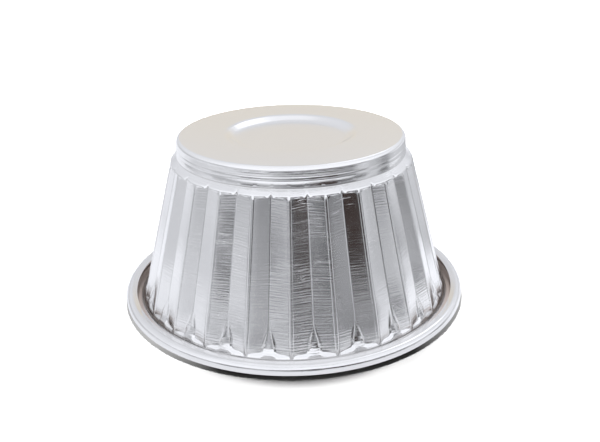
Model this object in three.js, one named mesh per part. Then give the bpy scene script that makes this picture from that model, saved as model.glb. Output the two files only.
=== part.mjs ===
// A fluted jelly mould pressed from aluminium sheet, its rim rolled over a wire ring.
// It stands mouth down: the rim rests on z = 0 and the closed base is on top.
// Millimetres, +Z up, origin on the axis in the plane of the rim.
import * as THREE from 'three';

// Driving dimensions of the sheet
const SHEET = 0.6; // thickness, the same all over
const HEIGHT = 42.8; // rim plane to the outside of the base

// Driving dimensions of the base and its sunk middle
const BASE_DIAMETER = 57.6; // outside of the plain collar
const BASE_EDGE_RADIUS = 1.5; // rounding between the base and the collar
const RECESS_DIAMETER = 33; // upper corner of the recess
const RECESS_FLOOR_DIAMETER = 28.6; // lower corner of the recess
const RECESS_DEPTH = 1.4;
const RECESS_RADIUS = 4; // rounding of both recess corners

// Driving dimensions of the collar and the shoulder below it
const COLLAR_HEIGHT = 5.1; // outside of the base to the crease at the collar's foot
const COLLAR_FOOT_RADIUS = 0.6;
const SHOULDER_WIDTH = 1.9; // collar to the tops of the flute ridges, measured outwards
const SHOULDER_DROP = 1.1;
const SHOULDER_RADIUS = 0.8; // rounding where the shoulder turns down into the flutes

// Driving dimensions of the fluted wall
const FLUTES = 24;
const FLUTE_DEPTH = 0.8; // ridge to valley
const WALL_FOOT_DIAMETER = 80.4; // where the ridges would meet the flange
const COVE_RADIUS = 2.6; // rounding between the wall and the flange

// Driving dimensions of the flange, the wire and the curl round it
const FLANGE_WIDTH = 3.4; // foot of the wall to the centre of the curl
const WIRE_DIAMETER = 1.4;
const WIRE_CLEARANCE = 0.1; // between the wire and the sheet, all round
const CURL_EDGE_GAP = 0.3; // between the cut edge of the curl and the flange

// Fineness of the facets
const COLUMNS_PER_FACET = 2;
const CURL_QUARTER_STEPS = 3;
const WIRE_SIDES = 8;

// Derived levels and radii, all on the middle of the sheet
const COLUMNS = FLUTES * 2 * COLUMNS_PER_FACET;
const FACET_ANGLE = Math.PI / FLUTES;
const HALF_SHEET = SHEET / 2;
const baseLevel = HEIGHT - HALF_SHEET;
const recessLevel = baseLevel - RECESS_DEPTH;
const collarRadius = BASE_DIAMETER / 2 - HALF_SHEET;
const collarFootLevel = HEIGHT - COLLAR_HEIGHT;
const shoulderRadius = collarRadius + SHOULDER_WIDTH;
const shoulderLevel = collarFootLevel - SHOULDER_DROP;
const wallFootRadius = WALL_FOOT_DIAMETER / 2;
const flangeLevel = HALF_SHEET;
const curlCentreRadius = wallFootRadius + FLANGE_WIDTH;
const curlInnerRadius = WIRE_DIAMETER / 2 + WIRE_CLEARANCE;
const curlMiddleRadius = curlInnerRadius + HALF_SHEET;
const beadRadius = curlInnerRadius + SHEET;

// A station of the meridian: a point on the middle of the sheet, the direction out of its outer face,
// how much of the flute depth it carries, and how far it climbs for each millimetre of flute depth.
function station(point, normal, flute = 0, climb = 0) {
  return { point, normal, flute, climb };
}

function leftOf(direction) {
  return new THREE.Vector2(-direction.y, direction.x);
}

// Rounds one corner of the meridian by an arc that touches both of its lines.
// The arc shrinks where its lines are too short for the full radius.
function roundedCorner(before, corner, after, radius, steps, fluteAt, climb) {
  const arriving = corner.clone().sub(before);
  const leaving = after.clone().sub(corner);
  const longestReach = Math.min(arriving.length(), leaving.length()) * 0.49;
  arriving.normalize();
  leaving.normalize();
  const turn = Math.atan2(arriving.cross(leaving), arriving.dot(leaving));
  const halfTurn = Math.tan(Math.abs(turn) / 2);
  const reach = Math.min(radius * halfTurn, longestReach);
  const signedRadius = Math.sign(turn) * (reach / halfTurn);
  const start = corner.clone().addScaledVector(arriving, -reach);
  const centre = start.clone().addScaledVector(leftOf(arriving), signedRadius);
  const arc = [];
  for (let step = 0; step <= steps; step += 1) {
    const along = step / steps;
    const direction = arriving.clone().rotateAround(new THREE.Vector2(), turn * along);
    const normal = leftOf(direction);
    const point = centre.clone().addScaledVector(normal, -signedRadius);
    arc.push(station(point, normal, fluteAt(along), climb));
  }
  return arc;
}

// The meridian runs from the axis, over the base, down the wall and out along the flange.
function wallMeridian() {
  const plain = () => 0;
  const fluted = () => 1;
  const fadingOut = (along) => 1 - along;
  const shoulderClimb = SHOULDER_DROP / SHOULDER_WIDTH;
  const axisPoint = new THREE.Vector2(0, recessLevel);
  const corners = [
    { r: RECESS_FLOOR_DIAMETER / 2, z: recessLevel, radius: RECESS_RADIUS, steps: 2, fluteAt: plain },
    { r: RECESS_DIAMETER / 2, z: baseLevel, radius: RECESS_RADIUS, steps: 2, fluteAt: plain },
    { r: collarRadius, z: baseLevel, radius: BASE_EDGE_RADIUS, steps: 4, fluteAt: plain },
    { r: collarRadius, z: collarFootLevel, radius: COLLAR_FOOT_RADIUS, steps: 1, fluteAt: plain },
    { r: shoulderRadius, z: shoulderLevel, radius: SHOULDER_RADIUS, steps: 2, fluteAt: fluted },
    { r: wallFootRadius, z: flangeLevel, radius: COVE_RADIUS, steps: 4, fluteAt: fadingOut },
  ];
  const flangeEnd = new THREE.Vector2(curlCentreRadius, flangeLevel);
  const points = corners.map((corner) => new THREE.Vector2(corner.r, corner.z));
  const line = [axisPoint, ...points, flangeEnd];
  const stations = [station(axisPoint, new THREE.Vector2(0, 1))];
  corners.forEach((corner, index) => {
    const climb = corner.fluteAt === fluted ? shoulderClimb : 0;
    const [before, at, after] = line.slice(index, index + 3);
    stations.push(...roundedCorner(before, at, after, corner.radius, corner.steps, corner.fluteAt, climb));
  });
  return stations;
}

// The angles of the curl about its centre, from under the wire, outside it and over it to the cut edge.
function curlAngles() {
  const quarter = Math.PI / 2;
  const stepAngle = quarter / CURL_QUARTER_STEPS;
  const overhang = Math.asin(THREE.MathUtils.clamp(1 - (SHEET + CURL_EDGE_GAP) / beadRadius, -1, 1));
  const cutEdge = Math.PI + overhang;
  const angles = [];
  for (let angle = -quarter; angle < cutEdge - stepAngle / 2; angle += stepAngle) {
    angles.push(angle);
  }
  return [...angles, cutEdge];
}

// The rim leaves the flange, rolls round the wire and stops short of the flange again.
function curlMeridian() {
  return curlAngles().map((angle) => {
    const outward = new THREE.Vector2(Math.cos(angle), Math.sin(angle));
    const point = new THREE.Vector2(curlCentreRadius, beadRadius).addScaledVector(outward, curlMiddleRadius);
    return station(point, outward.negate());
  });
}

// Radius of a flat flute facet, at a turn of 0 on its ridge and 1 in its valley.
function facetRadius(ridgeRadius, turn) {
  const valleyRadius = ridgeRadius - FLUTE_DEPTH;
  const across = valleyRadius * Math.sin(FACET_ANGLE);
  const behind = ridgeRadius - valleyRadius * Math.cos(FACET_ANGLE);
  const angle = turn * FACET_ANGLE;
  return (ridgeRadius * across) / (across * Math.cos(angle) + behind * Math.sin(angle));
}

// One ring of points round the axis, on the outer face (side 1) or the mouth face (side -1) of the sheet.
function ringAt(spot, side) {
  const ring = [];
  for (let column = 0; column < COLUMNS; column += 1) {
    const azimuth = (column / COLUMNS) * 2 * Math.PI;
    const facets = (column / COLUMNS_PER_FACET) % 2;
    const turn = facets > 1 ? 2 - facets : facets;
    const inset = spot.flute * (spot.point.x - facetRadius(spot.point.x, turn));
    const radius = spot.point.x + side * HALF_SHEET * spot.normal.x - inset;
    const height = spot.point.y + side * HALF_SHEET * spot.normal.y + inset * spot.climb;
    ring.push(new THREE.Vector3(radius * Math.sin(azimuth), -radius * Math.cos(azimuth), height));
  }
  return ring;
}

// Joins rings of equal length into one closed skin, with a point on the axis at each end.
function loftedGeometry(firstPoint, rings, lastPoint) {
  const vertices = [firstPoint, ...rings.flat(), lastPoint];
  const lastIndex = vertices.length - 1;
  const triangles = [];
  for (let column = 0; column < COLUMNS; column += 1) {
    const next = (column + 1) % COLUMNS;
    triangles.push(0, 1 + column, 1 + next);
    for (let ring = 0; ring < rings.length - 1; ring += 1) {
      const near = 1 + ring * COLUMNS;
      const far = near + COLUMNS;
      triangles.push(near + column, far + column, far + next);
      triangles.push(near + column, far + next, near + next);
    }
    const final = lastIndex - COLUMNS;
    triangles.push(lastIndex, final + next, final + column);
  }
  const geometry = new THREE.BufferGeometry().setFromPoints(vertices);
  geometry.setIndex(triangles);
  geometry.computeVertexNormals();
  return geometry;
}

// Base, collar, shoulder, flutes, flange and curl are one pressing.
function mouldShell() {
  const meridian = [...wallMeridian(), ...curlMeridian()];
  const away = meridian.slice(1);
  const rings = [
    ...away.map((spot) => ringAt(spot, 1)),
    ...away.map((spot) => ringAt(spot, -1)).reverse(),
  ];
  const top = new THREE.Vector3(0, 0, recessLevel + HALF_SHEET);
  const bottom = new THREE.Vector3(0, 0, recessLevel - HALF_SHEET);
  const material = new THREE.MeshStandardMaterial({ color: 0xd6d4d2, roughness: 0.26, metalness: 1 });
  const mesh = new THREE.Mesh(loftedGeometry(top, rings, bottom), material);
  mesh.name = 'mould_shell';
  return mesh;
}

// The wire ring that stiffens the rim lies in the middle of the curl.
function rimWire() {
  const geometry = new THREE.TorusGeometry(curlCentreRadius, WIRE_DIAMETER / 2, WIRE_SIDES, COLUMNS);
  const material = new THREE.MeshStandardMaterial({ color: 0xb9b9ba, roughness: 0.4, metalness: 1 });
  const mesh = new THREE.Mesh(geometry, material);
  mesh.name = 'rim_wire';
  mesh.position.z = beadRadius;
  return mesh;
}

const jellyMould = new THREE.Group();
jellyMould.add(mouldShell(), rimWire());

export default jellyMould;
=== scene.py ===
"""A fluted jelly mould of bright aluminium, standing mouth down on a white table."""

import math
from collections import namedtuple

import bpy
from mathutils import Matrix, Vector


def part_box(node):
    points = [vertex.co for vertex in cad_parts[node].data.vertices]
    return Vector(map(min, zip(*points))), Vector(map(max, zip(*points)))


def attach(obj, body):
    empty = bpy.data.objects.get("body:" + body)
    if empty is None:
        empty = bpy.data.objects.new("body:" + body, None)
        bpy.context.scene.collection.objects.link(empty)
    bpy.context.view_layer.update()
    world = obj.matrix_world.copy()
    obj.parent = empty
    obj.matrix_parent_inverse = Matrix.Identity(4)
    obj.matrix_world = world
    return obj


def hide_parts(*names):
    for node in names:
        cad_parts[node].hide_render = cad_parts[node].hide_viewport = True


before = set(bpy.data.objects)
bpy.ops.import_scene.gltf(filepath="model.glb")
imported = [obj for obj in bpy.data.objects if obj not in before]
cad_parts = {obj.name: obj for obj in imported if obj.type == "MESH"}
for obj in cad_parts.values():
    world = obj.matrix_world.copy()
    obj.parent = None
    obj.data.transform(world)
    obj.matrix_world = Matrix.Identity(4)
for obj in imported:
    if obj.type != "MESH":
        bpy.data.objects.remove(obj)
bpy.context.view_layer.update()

MM = 0.001

# Sizes that the frame gives
shell_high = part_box("mould_shell")[1]
wire_low, wire_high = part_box("rim_wire")
RIM_RADIUS = shell_high[0]
HEIGHT = shell_high[2]
WIRE_RADIUS = (wire_high[2] - wire_low[2]) / 2
CURL_CENTRE = wire_high[0] - WIRE_RADIUS
BEAD_RADIUS = RIM_RADIUS - CURL_CENTRE

# The sheet and the base. Each arc of the base's edge runs between two directions in degrees,
# and has a length and a number of steps.
SHEET = 0.6 * MM
BASE_RADIUS = 28.8 * MM
EDGE_ARCS = ((76, 25, 0.75 * MM, 7), (25, 6, 0.45 * MM, 4))
RECESS_RADIUS = 16.5 * MM
RECESS_FLOOR_RADIUS = 14.3 * MM
RECESS_DEPTH = 1.4 * MM
RECESS_ROUND = 4 * MM
RECESS_EDGE_ROUND = 2 * MM
RECESS_STEPS = 5

# The collar, with its turned bands, and the shoulder under it. The profile of a band says how much
# of its swell there is at shares of its height; at BAND_MIDDLE it lies on the collar's radius.
COLLAR_HEIGHT = 5.1 * MM
COLLAR_FOOT_ROUND = 0.2 * MM
COLLAR_BANDS = (1.25 * MM, 2.25 * MM, 3.2 * MM, 5.0 * MM)
BAND_SWELLS = (0.13, 0.24, 0.24)
BAND_PROFILE = ((0, 0), (0.35, 0.5), (0.72, 1), (0.82, 0.95))
BAND_MIDDLE = 0.6
SHOULDER_WIDTH = 1.9 * MM
SHOULDER_DROP = 1.1 * MM
SHOULDER_ROUND = 0.45 * MM
CORNER_STEPS = 4

# The fluted wall; places across a facet run from 0 on the ridge to 1 in the valley
FLUTES = 24
FLUTE_DEPTH = 0.8 * MM
FACET_ANGLE = math.pi / FLUTES
RIDGE_LAND = 0.1
BLUNT_RIDGE = 0.12
BLUNT_FACET = 0.1
NOTCH_START = 0.82
NOTCH_DEPTH = 1.25
NOTCH_CURVE = 1.3
BLUNT_END = 0.013
WALL_RINGS_TOP = (0.004, 0.008, 0.013, 0.03)
WALL_RINGS_MIDDLE = (0.25, 0.45, 0.65, 0.8, 0.835, 0.865, 0.896)
WALL_RINGS_FOOT = (0.914, 0.925, 0.936, 0.948, 0.96, 0.972, 0.982, 0.988, 0.994)
WALL_RINGS = WALL_RINGS_TOP + WALL_RINGS_MIDDLE + WALL_RINGS_FOOT

# Each column of a facet has one place on the wall and another at the foot, where a gusset closes
# the valley. Beads on the ridges and grooves in the valleys are given by column.
FACET_COLUMNS = (
    (0, 0),
    (0.045, 0.045),
    (0.085, 0.085),
    (0.13, 0.13),
    (0.4, 0.35),
    (0.82, 0.64),
    (0.93, 0.73),
    (0.955, 0.78),
    (0.98, 0.83),
    (1, 1),
)
GUSSET_EDGE = (0.955, 0.78)
RIDGE_BEAD = {(0, 0): 0.14 * MM, (0.045, 0.045): 0.09 * MM, (0.085, 0.085): -0.09 * MM}
VALLEY_GROOVE = {(0.98, 0.83): 0.06 * MM, (1, 1): 0.12 * MM}
GUSSET_TOP = 8.4 * MM
GUSSET_FOOT = 4.4 * MM
GUSSET_SWELL = 0.1 * MM
GUSSET_FOLD = 0.2 * MM

# Below the gussets the valleys fill up, and the plain foot of the wall turns into the flange
FILL_START = 0.5
FILL_CURVE = 1.5
FILL_TOPS = (2.05 * MM, 5.4 * MM)
FILL_END = 1.8 * MM
WALL_FOOT_RADIUS = 40.3 * MM
COVE_RISE = 1.5 * MM
COVE_RUN = 1.4 * MM
COVE_STEPS = 6

# The rolled rim: round outside, with a top that slopes gently down inwards to its cut edge
ROLL_TURN = math.radians(107)
ROLL_STEPS = 18
LIP_INSIDE = CURL_CENTRE - 1.3 * MM
LIP_LEVEL = 2.15 * MM

# Joining and smoothing the shell
MIRROR_MERGE = 0.01 * MM
SPIN_MERGE = 0.005 * MM
SMOOTH_ANGLE = math.radians(40)

# A stop is a point of the section. Its climb is how far it rises for each step inwards. Shares from 0
# to 1 say how blunt its ridges are, how far the gusset has grown, and how deep in the gutter it lies.
STOP_FIELDS = "radius height fluted climb blunt gusset gutter"
Stop = namedtuple("Stop", STOP_FIELDS, defaults=(False, 0, 0, 0, 0))


def rounded(before, corner, after, radius, steps):
    """Points of the arc that rounds one corner of the section, from its first line to its second."""
    arriving = (Vector(corner) - Vector(before)).normalized()
    leaving = (Vector(after) - Vector(corner)).normalized()
    turn = math.atan2(arriving.cross(leaving), arriving.dot(leaving))
    reach = radius * math.tan(abs(turn) / 2)
    to_centre = Vector((-arriving.y, arriving.x)) * math.copysign(radius, turn)
    centre = Vector(corner) - arriving * reach + to_centre
    return [centre - Matrix.Rotation(turn * step / steps, 2) @ to_centre for step in range(steps + 1)]


def collar_bands(collar_radius):
    """Points of the shallow swelling bands of the collar, from the top one down to the last groove."""
    points = []
    for top, bottom, most in zip(COLLAR_BANDS, COLLAR_BANDS[1:], BAND_SWELLS):
        for share, rise in BAND_PROFILE:
            swell = most * (bottom - top) * (rise - BAND_MIDDLE)
            points.append((collar_radius + swell, HEIGHT - top - share * (bottom - top)))
    return points


def edge_points(collar_radius, base_level):
    """Points of the base's edge: a round one first, then a slack one that runs down into the collar."""
    steps = []
    for start, end, length, count in EDGE_ARCS:
        for step in range(count):
            facing = math.radians(start + (end - start) * (step + 0.5) / count)
            steps.append(Vector((math.sin(facing), -math.cos(facing))) * length / count)
    place = Vector((collar_radius, base_level)) - Vector((sum(step.x for step in steps), 0))
    points = [place]
    for step in steps:
        points.append(points[-1] + step)
    return points


def curl_points():
    """Points of the rim where it rolls under and outside the wire and back over it to its cut edge."""
    middle = BEAD_RADIUS - SHEET / 2
    start = -math.pi / 2
    centre = Vector((CURL_CENTRE, BEAD_RADIUS))
    angles = [start + (ROLL_TURN - start) * step / ROLL_STEPS for step in range(ROLL_STEPS + 1)]
    roll = [centre + middle * Vector((math.cos(angle), math.sin(angle))) for angle in angles]
    lip = Vector((LIP_INSIDE, LIP_LEVEL))
    return [*roll, roll[-1].lerp(lip, 0.5), lip]


def section_stops():
    """The sheet's middle line, from the axis over the base and down the wall to the end of the curl."""
    base_level = HEIGHT - SHEET / 2
    floor_level = base_level - RECESS_DEPTH
    collar_radius = BASE_RADIUS - SHEET / 2
    foot_level = HEIGHT - COLLAR_HEIGHT
    axis = (0, floor_level)
    recess_floor = (RECESS_FLOOR_RADIUS, floor_level)
    recess_edge = (RECESS_RADIUS, base_level)
    base_edge = (collar_radius, base_level)
    collar_foot = (collar_radius, foot_level)
    shoulder = (collar_radius + SHOULDER_WIDTH, foot_level - SHOULDER_DROP)
    wall_foot = (WALL_FOOT_RADIUS, SHEET / 2)

    plain = [axis, (RECESS_FLOOR_RADIUS / 2, floor_level)]
    plain += rounded(axis, recess_floor, recess_edge, RECESS_ROUND, RECESS_STEPS)
    plain += rounded(recess_floor, recess_edge, base_edge, RECESS_EDGE_ROUND, RECESS_STEPS)
    plain += edge_points(collar_radius, base_level)[:-1]
    plain += collar_bands(collar_radius)
    plain += rounded(base_edge, collar_foot, shoulder, COLLAR_FOOT_ROUND, CORNER_STEPS)
    stops = [Stop(*point) for point in plain]

    climb = SHOULDER_DROP / SHOULDER_WIDTH
    turning = rounded(collar_foot, shoulder, wall_foot, SHOULDER_ROUND, CORNER_STEPS)
    stops += [Stop(*point, fluted=True, climb=climb, blunt=1) for point in turning]

    upward = (Vector(shoulder) - Vector(wall_foot)).normalized()
    wall_top = turning[-1]
    wall_end = Vector(wall_foot) + upward * COVE_RISE
    for share in WALL_RINGS:
        point = wall_top.lerp(wall_end, share)
        blunt = max(1 - share / BLUNT_END, 0)
        gusset = gusset_growth(point.y)
        stops.append(Stop(*point, True, climb * (1 - share), blunt, gusset))
    cove_end = Vector((WALL_FOOT_RADIUS + COVE_RUN, SHEET / 2))
    for step in range(COVE_STEPS + 1):
        share = step / COVE_STEPS
        before = wall_end.lerp(Vector(wall_foot), share)
        after = Vector(wall_foot).lerp(cove_end, share)
        stops.append(Stop(*before.lerp(after, share), gusset=1, gutter=share))
    under, *curl = curl_points()
    stops.append(Stop(*under, gusset=1, gutter=1))
    stops += [Stop(*point, gusset=1) for point in curl]
    return stops


def fill_share(height, turn):
    """How much of a flute's depth is left at a height: its foot fills up, highest in the valley."""
    inside = max(turn - FILL_START, 0) / (1 - FILL_START)
    top = between(FILL_TOPS, inside**FILL_CURVE)
    down = min(max((top - height) / (top - FILL_END), 0), 1)
    return 1 - down * down * (3 - 2 * down)


def gusset_growth(height):
    """How much of a gusset's full width there is at a height: 0 at its tip, 1 at its foot."""
    return min(max((GUSSET_TOP - height) / (GUSSET_TOP - GUSSET_FOOT), 0), 1)


def between(ends, share):
    return ends[0] + (ends[1] - ends[0]) * share


def facet_inset(radius, turn):
    """How far a flat facet lies inside the circle of the ridges."""
    valley = radius - FLUTE_DEPTH
    across = valley * math.sin(FACET_ANGLE)
    behind = radius - valley * math.cos(FACET_ANGLE)
    angle = turn * FACET_ANGLE
    return radius - radius * across / (across * math.cos(angle) + behind * math.sin(angle))


def blunt_inset(turn):
    """The inset next to the shoulder, where ridges are blunt and a valley is only a narrow notch."""
    notch = max(turn - NOTCH_START, 0) / (1 - NOTCH_START)
    rest = NOTCH_DEPTH - BLUNT_RIDGE - BLUNT_FACET
    return FLUTE_DEPTH * (BLUNT_RIDGE + BLUNT_FACET * turn + rest * notch**NOTCH_CURVE)


def flute_inset(stop, column):
    """The inset on one column of a flute: ridge land, facet, and the valley or its gusset."""
    turn = between(column, stop.gusset)
    edge = between(GUSSET_EDGE, stop.gusset)
    inset = facet_inset(stop.radius, min(max(turn, RIDGE_LAND), edge))
    if turn > edge:
        inset -= GUSSET_SWELL * stop.gusset * (turn - edge) / (1 - edge)
    if column == GUSSET_EDGE:
        inset -= GUSSET_FOLD * stop.gusset
    inset -= RIDGE_BEAD.get(column, 0)
    inset += VALLEY_GROOVE.get(column, 0) * (1 - stop.gusset)
    return inset + (blunt_inset(turn) - inset) * stop.blunt


def column_points(stops, column):
    """The section along one column of a flute, bent in by the flute's depth there."""
    points = []
    for stop in stops:
        turn = between(column, stop.gusset)
        inset = 0
        if stop.fluted:
            inset = fill_share(stop.height, turn) * flute_inset(stop, column)
        radius = stop.radius - inset
        height = stop.height + inset * stop.climb
        azimuth = turn * FACET_ANGLE
        points.append(Vector((radius * math.sin(azimuth), -radius * math.cos(azimuth), height)))
    return points


def draw_chain(points):
    """Draws a chain of edges by extruding one vertex from point to point."""
    bpy.ops.mesh.select_all(action="DESELECT")
    bpy.ops.mesh.primitive_plane_add(size=MM, location=points[0])
    bpy.ops.mesh.merge(type="CENTER")
    for here, there in zip(points, points[1:]):
        bpy.ops.mesh.extrude_region_move(TRANSFORM_OT_translate={"value": there - here})


def lengths_along(stops):
    """The distance of each stop from the axis, measured along the sheet."""
    lengths = [0.0]
    for here, there in zip(stops, stops[1:]):
        lengths.append(lengths[-1] + math.hypot(there.radius - here.radius, there.height - here.height))
    return lengths


def apply_modifier(piece, name, kind, **settings):
    modifier = piece.modifiers.new(name, kind)
    for key, value in settings.items():
        setattr(modifier, key, value)
    bpy.ops.object.modifier_apply(modifier=name)


def make_shell():
    """Half a flute drawn as sections and bridged, mirrored to a whole flute and spun round the axis."""
    stops = section_stops()
    bpy.ops.object.select_all(action="DESELECT")
    bpy.ops.mesh.primitive_plane_add(size=MM)
    shell = bpy.context.active_object
    shell.name = shell.data.name = "fluted_shell"
    bpy.ops.object.mode_set(mode="EDIT")
    bpy.ops.mesh.delete(type="VERT")
    for column in FACET_COLUMNS:
        draw_chain(column_points(stops, column))
    bpy.ops.object.mode_set(mode="OBJECT")
    along = shell.data.attributes.new("along", "FLOAT", "POINT")
    along.data.foreach_set("value", lengths_along(stops) * len(FACET_COLUMNS))
    gutter = shell.data.attributes.new("gutter", "FLOAT", "POINT")
    gutter.data.foreach_set("value", [stop.gutter for stop in stops] * len(FACET_COLUMNS))
    bpy.ops.object.mode_set(mode="EDIT")
    bpy.ops.mesh.select_all(action="SELECT")
    bpy.ops.mesh.bridge_edge_loops(type="SINGLE")
    bpy.ops.object.mode_set(mode="OBJECT")
    apply_modifier(shell, "whole_flute", "MIRROR", merge_threshold=MIRROR_MERGE)
    bpy.ops.object.mode_set(mode="EDIT")
    bpy.ops.mesh.select_all(action="SELECT")
    bpy.ops.mesh.spin(
        dupli=True,
        steps=FLUTES - 1,
        angle=2 * math.pi * (FLUTES - 1) / FLUTES,
        center=(0, 0, 0),
        axis=(0, 0, 1),
    )
    bpy.ops.mesh.select_all(action="SELECT")
    bpy.ops.mesh.remove_doubles(threshold=SPIN_MERGE)
    bpy.ops.mesh.normals_make_consistent(inside=False)
    bpy.ops.object.mode_set(mode="OBJECT")
    apply_modifier(shell, "thickness", "SOLIDIFY", thickness=SHEET, offset=0, use_even_offset=True)
    bpy.ops.object.shade_smooth_by_angle(angle=SMOOTH_ANGLE)
    apply_modifier(shell, "flat_facets", "WEIGHTED_NORMAL", keep_sharp=True)
    return shell


def node(tree, kind, inputs=None, **settings):
    """Adds a node, sets its options, and fills or links its inputs by name or number."""
    made = tree.nodes.new(kind)
    for key, value in settings.items():
        setattr(made, key, value)
    for key, value in (inputs or {}).items():
        if isinstance(value, bpy.types.NodeSocket):
            tree.links.new(value, made.inputs[key])
        else:
            made.inputs[key].default_value = value
    return made


def new_material(name):
    material = bpy.data.materials.new(name)
    material.use_nodes = True
    material.node_tree.nodes.clear()
    return material


def new_group(name, inputs, outputs):
    """A shader node group with named sockets, which puts out numbers, and its input node."""
    group = bpy.data.node_groups.new(name, "ShaderNodeTree")
    for socket, kind in inputs.items():
        group.interface.new_socket(socket, in_out="INPUT", socket_type=kind)
    for socket in outputs:
        group.interface.new_socket(socket, in_out="OUTPUT", socket_type="NodeSocketFloat")
    return group, node(group, "NodeGroupInput")


def place_group(tree, group, inputs):
    return node(tree, "ShaderNodeGroup", node_tree=group, inputs=inputs)


def maths(tree, operation, first, second=0.0):
    return node(tree, "ShaderNodeMath", {0: first, 1: second}, operation=operation).outputs[0]


def noise(tree, vector, scale, detail=2.0, roughness=0.5):
    made = node(
        tree,
        "ShaderNodeTexNoise",
        {"Vector": vector, "Scale": scale, "Detail": detail, "Roughness": roughness},
    )
    return made.outputs["Fac"]


def remap(tree, value, low, high, to_low=0.0, to_high=1.0):
    made = node(
        tree,
        "ShaderNodeMapRange",
        {"Value": value, "From Min": low, "From Max": high, "To Min": to_low, "To Max": to_high},
    )
    return made.outputs["Result"]


# Marks of the spinning tool: lines, the patches where they are strong, and a ripple that wanders
LINE_DETAIL = 3.0
LINE_ROUGHNESS = 0.6
LINE_CONTRAST = (0.3, 0.7)
PATCH_SCALE = 90.0
PATCH_CONTRAST = (0.4, 0.65)
RIPPLE_SPEED = 3.3
WANDER_SCALE = 0.3
WANDER_REACH = 7.0


def spun_lines_group():
    """Fine lines left by the spinning tool: they run round the piece and change along its section."""
    inputs = {
        "Position": "NodeSocketVector",
        "Along": "NodeSocketFloat",
        "Pitch": "NodeSocketFloat",
        "Reach": "NodeSocketFloat",
    }
    group, given = new_group("spun_lines", inputs, ["Lines", "Ripple", "Patches"])
    sides = node(group, "ShaderNodeSeparateXYZ", {"Vector": given.outputs["Position"]})
    across = maths(group, "DIVIDE", sides.outputs["X"], given.outputs["Reach"])
    behind = maths(group, "DIVIDE", sides.outputs["Y"], given.outputs["Reach"])
    lengthwise = maths(group, "DIVIDE", given.outputs["Along"], given.outputs["Pitch"])
    stretched = node(group, "ShaderNodeCombineXYZ", {"X": across, "Y": behind, "Z": lengthwise})
    grain = noise(group, stretched.outputs["Vector"], 1.0, LINE_DETAIL, LINE_ROUGHNESS)
    lines = remap(group, grain, *LINE_CONTRAST)
    patches = remap(group, noise(group, given.outputs["Position"], PATCH_SCALE), *PATCH_CONTRAST)
    drift = noise(group, stretched.outputs["Vector"], WANDER_SCALE)
    wander = maths(group, "MULTIPLY", drift, WANDER_REACH)
    phase = maths(group, "ADD", maths(group, "MULTIPLY", lengthwise, RIPPLE_SPEED), wander)
    ripple = remap(group, maths(group, "SINE", phase), -1, 1)
    node(group, "NodeGroupOutput", {"Lines": lines, "Ripple": ripple, "Patches": patches})
    return group


# Marks of use: their scales, and the stretch of the noise in which they show
SCRATCH_STRETCH = (0.3, 0.3, 1.6)
SCRATCH_SCALE = 420.0
SCRATCH_WIDTH = 0.035
SCRATCH_PLACES = 160.0
SCRATCH_CONTRAST = (0.58, 0.68)
SPECK_SCALE = 700.0
SPECK_SIZE = (0.1, 0.2)
SPECK_PLACES = 300.0
SPECK_CONTRAST = (0.6, 0.7)
SMUDGE_SCALE = 60.0
SMUDGE_CONTRAST = (0.35, 0.7)


def handling_marks_group():
    """Small scratches, specks and smudges from use."""
    outputs = ["Scratches", "Specks", "Smudges"]
    group, given = new_group("handling_marks", {"Position": "NodeSocketVector"}, outputs)
    position = given.outputs["Position"]
    bent = node(group, "ShaderNodeVectorMath", {0: position, 1: SCRATCH_STRETCH}, operation="MULTIPLY")
    cells = node(
        group,
        "ShaderNodeTexVoronoi",
        {"Vector": bent.outputs[0], "Scale": SCRATCH_SCALE},
        feature="DISTANCE_TO_EDGE",
    )
    scratch_lines = remap(group, cells.outputs["Distance"], 0.0, SCRATCH_WIDTH, 1.0, 0.0)
    scratched = remap(group, noise(group, position, SCRATCH_PLACES), *SCRATCH_CONTRAST)
    scratches = maths(group, "MULTIPLY", scratch_lines, scratched)
    dots = node(group, "ShaderNodeTexVoronoi", {"Vector": position, "Scale": SPECK_SCALE})
    round_dots = remap(group, dots.outputs["Distance"], *SPECK_SIZE, 1.0, 0.0)
    specked = remap(group, noise(group, position, SPECK_PLACES), *SPECK_CONTRAST)
    specks = maths(group, "MULTIPLY", round_dots, specked)
    smudges = remap(group, noise(group, position, SMUDGE_SCALE), *SMUDGE_CONTRAST)
    node(group, "NodeGroupOutput", {"Scratches": scratches, "Specks": specks, "Smudges": smudges})
    return group


# The finish of the shell. Where a name ends in BOTH, its two values are for the base and for the rest.
BASE_END = (28.4 * MM, 29.2 * MM)
COLLAR_LINES = 0.15
WALL_START = (33 * MM, 37 * MM)
FINE_LINES = {"Pitch": 0.34 * MM, "Reach": 9 * MM}
FINE_STRENGTH = (0.25, 1)
BROAD_LINES = {"Pitch": 1.1 * MM, "Reach": 7 * MM}
BROAD_STRENGTH = 0.5
RIPPLE_STRENGTH = (0.1, 0.5)
SCRATCHES_BOTH = (0.0, 0.5)
SPECKS_BOTH = (0.0, 0.4)
SHEET_RELIEF = 0.015 * MM
SATIN_BOTH = (0.26, 0.15)
WORN_BOTH = (0.01, 0.06)
ALUMINIUM = (0.9, 0.895, 0.89, 1)
GROOVE_GREY = (0.55, 0.55, 0.56, 1)
GROOVE_END = 0.9
GROOVE_SHADE = 0.2

# A brown painted reflection in the gutter, at the left and right sides, where the finish is also made
# duller
BROWN_REFLECTION_GUTTER = (0.4, 0.8)
BROWN_REFLECTION_FACING = (0.0, 0.2)
BROWN_REFLECTION_SIDES = (22 * MM, 36 * MM)
BROWN_REFLECTION_DULLNESS = 0.15
PAINTED_REFLECTION_BROWN = (0.62, 0.53, 0.48, 1)


def mixed(tree, share, first, second):
    """One colour going over into another."""
    return node(tree, "ShaderNodeMix", {0: share, 6: first, 7: second}, data_type="RGBA").outputs[2]


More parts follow.
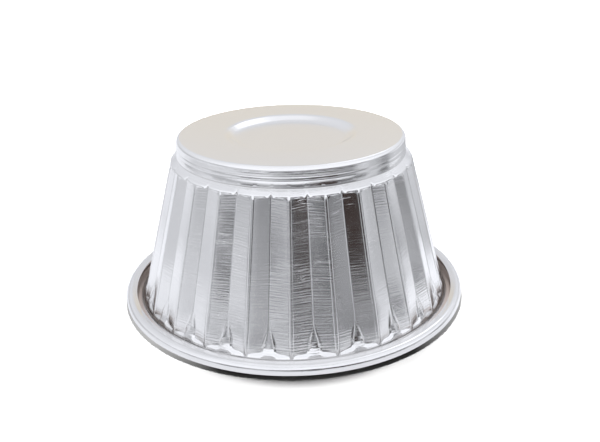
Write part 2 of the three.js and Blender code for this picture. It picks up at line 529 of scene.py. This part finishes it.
def metal(tree, colour, roughness, bump):
    normal = bump.outputs["Normal"]
    inputs = {"Base Color": colour, "Metallic": 1.0, "Roughness": roughness, "Normal": normal}
    surface = node(tree, "ShaderNodeBsdfPrincipled", inputs)
    node(tree, "ShaderNodeOutputMaterial", {"Surface": surface.outputs["BSDF"]})


def pressed_aluminium(spun_lines, handling_marks):
    material = new_material("pressed_aluminium")
    tree = material.node_tree
    place = node(tree, "ShaderNodeTexCoord")
    position = place.outputs["Object"]
    along = node(tree, "ShaderNodeAttribute", attribute_name="along").outputs["Fac"]
    off_base = remap(tree, along, *BASE_END)
    on_wall = maths(tree, "MULTIPLY", remap(tree, along, *WALL_START, COLLAR_LINES, 1), off_base)
    fine = place_group(tree, spun_lines, {"Position": position, "Along": along, **FINE_LINES})
    broad = place_group(tree, spun_lines, {"Position": position, "Along": along, **BROAD_LINES})
    marks = place_group(tree, handling_marks, {"Position": position})

    fine_strength = remap(tree, fine.outputs["Patches"], 0, 1, *FINE_STRENGTH)
    fine_lines = maths(tree, "MULTIPLY", fine.outputs["Lines"], fine_strength)
    broad_lines = maths(tree, "MULTIPLY", broad.outputs["Lines"], BROAD_STRENGTH)
    ripple_strength = remap(tree, broad.outputs["Patches"], 0, 1, *RIPPLE_STRENGTH)
    ripple = maths(tree, "MULTIPLY", fine.outputs["Ripple"], ripple_strength)
    lines = maths(tree, "ADD", maths(tree, "ADD", fine_lines, broad_lines), ripple)
    wall_height = maths(tree, "MULTIPLY", lines, on_wall)
    scratch_depth = remap(tree, off_base, 0, 1, *SCRATCHES_BOTH)
    scratches = maths(tree, "MULTIPLY", marks.outputs["Scratches"], scratch_depth)
    speck_height = remap(tree, off_base, 0, 1, *SPECKS_BOTH)
    specks = maths(tree, "MULTIPLY", marks.outputs["Specks"], speck_height)
    relief = maths(tree, "ADD", maths(tree, "SUBTRACT", wall_height, scratches), specks)
    bump = node(tree, "ShaderNodeBump", {"Height": relief, "Strength": 1.0, "Distance": SHEET_RELIEF})

    facing = node(tree, "ShaderNodeSeparateXYZ", {"Vector": place.outputs["Normal"]}).outputs["Z"]
    gutter = node(tree, "ShaderNodeAttribute", attribute_name="gutter").outputs["Fac"]
    # Painted reflection: a brown tint on the gutter's upward faces at the left and right sides, which
    # are also rougher there
    sideways = node(tree, "ShaderNodeSeparateXYZ", {"Vector": position}).outputs["X"]
    sides = remap(tree, maths(tree, "ABSOLUTE", sideways), *BROWN_REFLECTION_SIDES)
    painted_reflection = maths(tree, "MULTIPLY", remap(tree, gutter, *BROWN_REFLECTION_GUTTER), remap(tree, facing, *BROWN_REFLECTION_FACING))
    painted_reflection = maths(tree, "MULTIPLY", painted_reflection, sides)

    satin = remap(tree, off_base, 0, 1, *SATIN_BOTH)
    worn = maths(tree, "MULTIPLY", marks.outputs["Smudges"], remap(tree, off_base, 0, 1, *WORN_BOTH))
    dull = maths(tree, "MULTIPLY", painted_reflection, BROWN_REFLECTION_DULLNESS)
    roughness = maths(tree, "ADD", maths(tree, "ADD", satin, worn), dull)
    shade = remap(tree, fine_lines, 0, GROOVE_END, GROOVE_SHADE, 0.0)
    bare = mixed(tree, maths(tree, "MULTIPLY", shade, on_wall), ALUMINIUM, GROOVE_GREY)
    metal(tree, mixed(tree, painted_reflection, bare, PAINTED_REFLECTION_BROWN), roughness, bump)
    return material


# The finish of the wire
WIRE_LINES = {"Pitch": 0.1 * MM, "Reach": 16 * MM}
WIRE_RELIEF = 0.004 * MM
WIRE_ROUGHNESS = (0.34, 0.46)
WIRE_GREY = (0.74, 0.74, 0.75, 1)


def drawn_wire(spun_lines, handling_marks):
    material = new_material("drawn_wire")
    tree = material.node_tree
    position = node(tree, "ShaderNodeTexCoord").outputs["Object"]
    height = node(tree, "ShaderNodeSeparateXYZ", {"Vector": position}).outputs["Z"]
    drawn = place_group(tree, spun_lines, {"Position": position, "Along": height, **WIRE_LINES})
    marks = place_group(tree, handling_marks, {"Position": position})
    lines = drawn.outputs["Lines"]
    bump = node(tree, "ShaderNodeBump", {"Height": lines, "Strength": 1.0, "Distance": WIRE_RELIEF})
    roughness = remap(tree, marks.outputs["Smudges"], 0, 1, *WIRE_ROUGHNESS)
    metal(tree, WIRE_GREY, roughness, bump)
    return material


# The table. Seen by the camera and in reflections it glows with painted light, which makes it stay
# white past the object's contact shadow, lifts that shadow at the left and right, and far off makes it
# a white backdrop
FLOOR_RADIUS = 4
FLOOR_SIDES = 96
FLOOR_LEVEL = -0.02 * MM
FLOOR_WHITE = (0.95, 0.95, 0.95, 1)
SHADOW_EDGE = RIM_RADIUS + 0.8 * MM
SHADOW_END = RIM_RADIUS + 3.5 * MM
TABLE_GLOW = 0.2
OPEN_TABLE = (90 * MM, 250 * MM)
# Painted light that lifts the contact shadow at the left and right sides
SHADE_MIDDLE = 6 * MM
TABLE_SIDES = (22 * MM, 40 * MM)
PAINTED_SIDE_LIGHT = 0.45


def make_floor():
    bpy.ops.object.select_all(action="DESELECT")
    bpy.ops.mesh.primitive_circle_add(
        vertices=FLOOR_SIDES,
        radius=FLOOR_RADIUS,
        fill_type="NGON",
        location=(0, 0, FLOOR_LEVEL),
    )
    floor = bpy.context.active_object
    floor.name = "floor"
    material = new_material("white_table")
    tree = material.node_tree
    position = node(tree, "ShaderNodeTexCoord").outputs["Object"]
    distance = node(tree, "ShaderNodeVectorMath", {0: position}, operation="LENGTH").outputs["Value"]
    # Painted light: a glow that rises from the shadow's edge, so the contact shadow ends sooner
    painted_table_light = remap(tree, distance, SHADOW_EDGE, SHADOW_END, 0.0, TABLE_GLOW)
    painted_table_light = maths(tree, "ADD", painted_table_light, remap(tree, distance, *OPEN_TABLE))
    # Painted light at the left and right, which lifts the contact shadow there
    sideways = node(tree, "ShaderNodeSeparateXYZ", {"Vector": position}).outputs["X"]
    sideways = maths(tree, "ABSOLUTE", maths(tree, "SUBTRACT", sideways, SHADE_MIDDLE))
    sides = remap(tree, sideways, *TABLE_SIDES, 0.0, PAINTED_SIDE_LIGHT)
    painted_table_light = maths(tree, "ADD", painted_table_light, sides)
    path = node(tree, "ShaderNodeLightPath").outputs
    seen = maths(tree, "ADD", path["Is Camera Ray"], path["Is Glossy Ray"])
    seen = maths(tree, "ADD", seen, path["Is Transmission Ray"])
    seen = node(tree, "ShaderNodeClamp", {"Value": seen}).outputs["Result"]
    glow = maths(tree, "MULTIPLY", painted_table_light, seen)
    diffuse = node(tree, "ShaderNodeBsdfDiffuse", {"Color": FLOOR_WHITE})
    white = node(tree, "ShaderNodeEmission", {"Color": (1, 1, 1, 1), "Strength": glow})
    both = node(tree, "ShaderNodeAddShader", {0: diffuse.outputs["BSDF"], 1: white.outputs["Emission"]})
    node(tree, "ShaderNodeOutputMaterial", {"Surface": both.outputs["Shader"]})
    floor.data.materials.append(material)
    return floor


# The studio round the object: glowing cards, painted reflections that only the metal sees, and that
# don't light the table.
# A card's tones go by azimuth, in degrees from the front towards +X, and its tint colours them.
# Its levels are elevations in degrees.
# Three rings lie on the table, and the metal mirrors their tones in place of the white floor; four
# walls stand one above another round it, and the ceiling is flat.
# Before the walls stand a warm one behind the object, a dark card beside the camera and a window.
ROOM_DISTANCE = 0.6
CARD_DISTANCE = ROOM_DISTANCE - 0.02
CARD_STEPS = 48
NEUTRAL = (0.965, 0.985, 1.045)
WARM = (1.08, 1.0, 0.88)
DARK_BROWN = (1.7, 1.0, 0.8)

TABLE_LEVEL = 0.2 * MM
TABLE_RINGS = (0.0442, 0.078, 0.115, ROOM_DISTANCE)
NEAR_TABLE = ((-180, 1.05), (-100, 1.05), (-75, 0.95), (50, 0.9), (75, 1.1), (180, 1.1))
MIDDLE_TABLE = (
    (-180, 0.9),
    (-97, 1.05),
    (-67, 0.95),
    (-52, 0.5),
    (-22, 0.4),
    (-7, 0.05),
    (58, 0.02),
    (67, 0.95),
    (82, 0.15),
    (97, 1.0),
    (112, 0.55),
    (140, 0.9),
    (180, 0.9),
)
FAR_TABLE = (
    (-180, 1.0),
    (-120, 0.95),
    (-97, 0.7),
    (-22, 0.85),
    (-7, 0.5),
    (22, 0.6),
    (55, 0.3),
    (67, 0.75),
    (97, 0.33),
    (112, 0.7),
    (150, 0.55),
    (180, 1.0),
)

WALL_LEVELS = (0.1, 8, 16, 34, 65)
LOW_WALL = (
    (-180, 1.0),
    (-112, 0.5),
    (-82, 0.85),
    (-67, 0.55),
    (-52, 0.7),
    (-37, 0.01),
    (-15, 0.55),
    (7, 0.1),
    (37, 0.06),
    (52, 0.33),
    (82, 0.75),
    (97, 0.08),
    (112, 0.9),
    (180, 1.0),
)
HIGH_WALL = (
    (-180, 0.7),
    (-97, 0.7),
    (-67, 0.42),
    (-22, 0.58),
    (-7, 0.25),
    (22, 0.01),
    (37, 0.01),
    (52, 0.15),
    (67, 0.02),
    (80, 0.65),
    (180, 0.7),
)
UPPER_WALL = (
    (-180, 0.75),
    (-100, 0.9),
    (-80, 1.0),
    (-50, 1.15),
    (55, 1.15),
    (80, 1.2),
    (110, 1.0),
    (180, 0.75),
)
TOP_WALL = ((-180, 0.75), (-100, 0.9), (-60, 1.08), (80, 1.08), (110, 0.9), (180, 0.75))

BACK_WALL = ((164, 0.72), (196, 0.72))
BACK_WALL_LEVELS = (4, 24)
DARK_CARD = ((20, 0.02), (42, 0.02))
DARK_CARD_LEVELS = (3, 18)
WINDOW = ((138, 1.5), (162, 1.5))
WINDOW_LEVELS = (36, 64)
CEILING = ((-180, 1.0), (180, 1.0))
CEILING_HEIGHT = 0.76
CEILING_RADIUS = 0.355


def card_tone(tree, tones, tint):
    """The tone of a card, by azimuth round the object."""
    position = node(tree, "ShaderNodeTexCoord").outputs["Object"]
    sides = node(tree, "ShaderNodeSeparateXYZ", {"Vector": position})
    front = maths(tree, "MULTIPLY", sides.outputs["Y"], -1.0)
    azimuth = maths(tree, "ARCTAN2", sides.outputs["X"], front)
    first, last = tones[0][0], tones[-1][0]
    share = remap(tree, azimuth, math.radians(first), math.radians(last))
    ramp = node(tree, "ShaderNodeValToRGB", {"Fac": share})
    for stop, (place, tone) in zip(ramp_stops(ramp, len(tones)), tones):
        stop.position = (place - first) / (last - first)
        stop.color = (tone * tint[0], tone * tint[1], tone * tint[2], 1)
    return ramp.outputs["Color"]


def ramp_stops(ramp, count):
    stops = ramp.color_ramp.elements
    while len(stops) < count:
        stops.new(len(stops) / count)
    return stops


def make_card(name, profile, tones, tint=NEUTRAL):
    """A bent edge, spun round the object into a curved card."""
    start = math.radians(tones[0][0])
    end = math.radians(tones[-1][0])
    across = math.sin(start)
    ahead = -math.cos(start)
    points = [Vector((radius * across, radius * ahead, level)) for radius, level in profile]
    bpy.ops.object.select_all(action="DESELECT")
    bpy.ops.mesh.primitive_plane_add(size=MM)
    card = bpy.context.active_object
    card.name = card.data.name = name
    bpy.ops.object.mode_set(mode="EDIT")
    bpy.ops.mesh.delete(type="VERT")
    draw_chain(points)
    bpy.ops.mesh.select_all(action="SELECT")
    bpy.ops.mesh.spin(steps=CARD_STEPS, angle=start - end, center=(0, 0, 0), axis=(0, 0, 1))
    bpy.ops.object.mode_set(mode="OBJECT")
    card.visible_camera = False
    card.visible_diffuse = False
    card.visible_shadow = False
    material = new_material(name)
    tree = material.node_tree
    # The card glows as a painted reflection, dark to rays that have already bounced off a diffuse
    # surface, so no light from it reaches the table by way of the metal
    bounces = node(tree, "ShaderNodeLightPath").outputs["Diffuse Depth"]
    direct = remap(tree, bounces, 0, 1, 1, 0)
    colour = card_tone(tree, tones, tint)
    surface = node(tree, "ShaderNodeEmission", {"Color": colour, "Strength": direct})
    node(tree, "ShaderNodeOutputMaterial", {"Surface": surface.outputs["Emission"]})
    card.data.materials.append(material)
    return card


def upright(distance, levels):
    """The profile of an upright card, between two elevations in degrees."""
    return [(distance, distance * math.tan(math.radians(level))) for level in levels]


def flat(inner, outer, level):
    """The profile of a level card, between two distances from the axis."""
    return ((inner, level), (outer, level))


def make_cards():
    near, middle, far, table_end = TABLE_RINGS
    bottom, low, high, upper, top = WALL_LEVELS
    return [
        make_card("near_table", flat(near, middle, TABLE_LEVEL), NEAR_TABLE),
        make_card("middle_table", flat(middle, far, TABLE_LEVEL), MIDDLE_TABLE),
        make_card("far_table", flat(far, table_end, TABLE_LEVEL), FAR_TABLE),
        make_card("low_wall", upright(ROOM_DISTANCE, (bottom, low)), LOW_WALL),
        make_card("high_wall", upright(ROOM_DISTANCE, (low, high)), HIGH_WALL),
        make_card("upper_wall", upright(ROOM_DISTANCE, (high, upper)), UPPER_WALL),
        make_card("top_wall", upright(ROOM_DISTANCE, (upper, top)), TOP_WALL),
        make_card("back_wall", upright(CARD_DISTANCE, BACK_WALL_LEVELS), BACK_WALL, WARM),
        make_card("dark_card", upright(CARD_DISTANCE, DARK_CARD_LEVELS), DARK_CARD, DARK_BROWN),
        make_card("window", upright(CARD_DISTANCE, WINDOW_LEVELS), WINDOW),
        make_card("ceiling", flat(MM, CEILING_RADIUS, CEILING_HEIGHT), CEILING),
    ]


# The lamp that casts the contact shadow
LAMP_PLACE = (-0.02, 0.3, 0.8)
LAMP_SIZE = 0.06
LAMP_POWER = 7.0


def make_softbox(name, place, size, power):
    """A square lamp that faces the object, and that the metal doesn't mirror."""
    bpy.ops.object.select_all(action="DESELECT")
    bpy.ops.object.light_add(type="AREA", location=place)
    lamp = bpy.context.active_object
    lamp.name = name
    lamp.rotation_euler = Vector(place).to_track_quat("Z", "Y").to_euler()
    lamp.data.size = size
    lamp.data.energy = power
    lamp.visible_glossy = False


# The photograph's viewpoint: the camera's place, turn, dip and tilt
VIEW_TURN = math.radians(1.3)
VIEW_DISTANCE = 170.6 * MM
VIEW_HEIGHT = 90.54 * MM
VIEW_YAW = math.radians(0.648)
VIEW_DIP = math.radians(23.04)
VIEW_TILT = math.radians(-1.02)
VIEW_LENS = 41.75
SENSOR_WIDTH = 36


def make_camera():
    data = bpy.data.cameras.new("camera")
    data.sensor_width = SENSOR_WIDTH
    data.lens = VIEW_LENS
    data.clip_start = MM
    camera = bpy.data.objects.new("camera", data)
    bpy.context.scene.collection.objects.link(camera)
    ahead = Matrix.Rotation(-VIEW_YAW, 4, "Z") @ Matrix.Rotation(math.pi / 2 - VIEW_DIP, 4, "X")
    tilted = ahead @ Matrix.Rotation(VIEW_TILT, 4, "Z")
    place = Matrix.Translation((0, -VIEW_DISTANCE, VIEW_HEIGHT))
    camera.matrix_world = Matrix.Rotation(VIEW_TURN, 4, "Z") @ place @ tilted
    bpy.context.scene.camera = camera


# The dim room behind the cards, by the height of a direction
ROOM_TONES = ((0.0, 0.04), (0.4, 0.045), (0.75, 0.05), (1.0, 0.06))


def make_world():
    """A dim room that brightens a little upwards, with a white backdrop for the camera."""
    world = bpy.data.worlds.new("studio")
    bpy.context.scene.world = world
    world.use_nodes = True
    tree = world.node_tree
    tree.nodes.clear()
    direction = node(tree, "ShaderNodeTexCoord").outputs["Generated"]
    upward = node(tree, "ShaderNodeSeparateXYZ", {"Vector": direction}).outputs["Z"]
    ramp = node(tree, "ShaderNodeValToRGB", {"Fac": upward})
    for element, (place, tone) in zip(ramp_stops(ramp, len(ROOM_TONES)), ROOM_TONES):
        element.position = place
        element.color = (tone, tone, tone, 1)
    room = node(tree, "ShaderNodeBackground", {"Color": ramp.outputs["Color"], "Strength": 1.0})
    backdrop = node(tree, "ShaderNodeBackground", {"Color": (1, 1, 1, 1), "Strength": 1.0})
    seen = node(tree, "ShaderNodeLightPath").outputs["Is Camera Ray"]
    both = node(
        tree,
        "ShaderNodeMixShader",
        {0: seen, 1: room.outputs["Background"], 2: backdrop.outputs["Background"]},
    )
    node(tree, "ShaderNodeOutputWorld", {"Surface": both.outputs["Shader"]})


shell = make_shell()
spun_lines = spun_lines_group()
handling_marks = handling_marks_group()
shell.data.materials.append(pressed_aluminium(spun_lines, handling_marks))
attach(shell, "root")
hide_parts("mould_shell")

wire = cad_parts["rim_wire"]
wire.data.materials.clear()
wire.data.materials.append(drawn_wire(spun_lines, handling_marks))

make_floor()
for card in make_cards():
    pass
make_softbox("softbox", LAMP_PLACE, LAMP_SIZE, LAMP_POWER)
make_camera()
make_world()
bpy.context.scene.view_settings.view_transform = "Standard"
